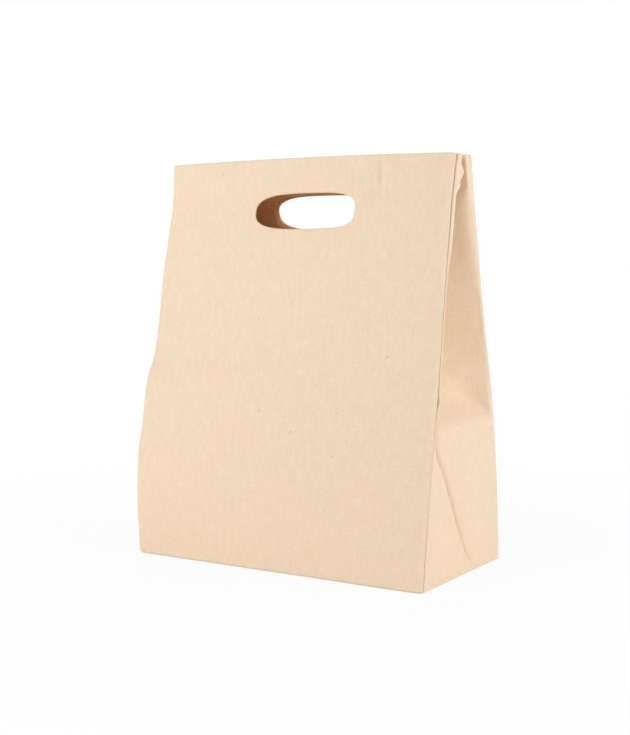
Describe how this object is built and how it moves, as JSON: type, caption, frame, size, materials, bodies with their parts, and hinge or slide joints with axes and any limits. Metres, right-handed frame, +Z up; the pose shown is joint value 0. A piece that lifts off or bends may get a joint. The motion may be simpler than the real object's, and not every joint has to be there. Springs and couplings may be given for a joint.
{
  "type": "reusable shopping bag",
  "caption": "Plain canvas shopping bag with a flat base, inward-pleated sides and a hand hole through the front and the back; the walls tip about the base folds to open the mouth.",
  "frame": {"origin": "middle of the base, on the surface that the bag stands on", "axes": "+X along the front to the viewer's right, +Y from the front to the back, +Z up"},
  "size_m": [0.28, 0.146, 0.342],
  "materials": {
    "canvas": "natural undyed plain-weave cotton canvas",
    "binding_tape": "twill cotton tape",
    "thread": "natural cotton sewing thread"
  },
  "bodies": {
    "base": {"base_panel": "canvas", "left_gusset": "canvas", "right_gusset": "canvas", "left_base_binding": "binding_tape", "right_base_binding": "binding_tape", "left_base_thread": "thread", "right_base_thread": "thread", "left_gusset_thread": "thread", "right_gusset_thread": "thread"},
    "front_wall": {"front_panel": "canvas", "front_facing": "canvas", "front_top_thread": "thread", "front_facing_thread": "thread", "front_hole_thread": "thread", "front_left_seam_binding": "binding_tape", "front_right_seam_binding": "binding_tape", "front_left_seam_thread": "thread", "front_right_seam_thread": "thread"},
    "back_wall": {"back_panel": "canvas", "back_facing": "canvas", "back_top_thread": "thread", "back_facing_thread": "thread", "back_hole_thread": "thread", "back_left_seam_binding": "binding_tape", "back_right_seam_binding": "binding_tape", "back_left_seam_thread": "thread", "back_right_seam_thread": "thread"}
  },
  "joints": [
    {"name": "front_wall_tilt", "type": "hinge", "parent": "base", "child": "front_wall", "pos_m": [0, -0.0725, 0.0005], "axis": [1, 0, 0], "range_deg": [-0.4, 8.7], "deforming": ["left_gusset", "right_gusset", "left_gusset_thread", "right_gusset_thread"]},
    {"name": "back_wall_tilt", "type": "hinge", "parent": "base", "child": "back_wall", "pos_m": [0, 0.0725, 0.0005], "axis": [-1, 0, 0], "range_deg": [-0.4, 10.5], "deforming": ["left_gusset", "right_gusset", "left_gusset_thread", "right_gusset_thread"]}
  ]
}
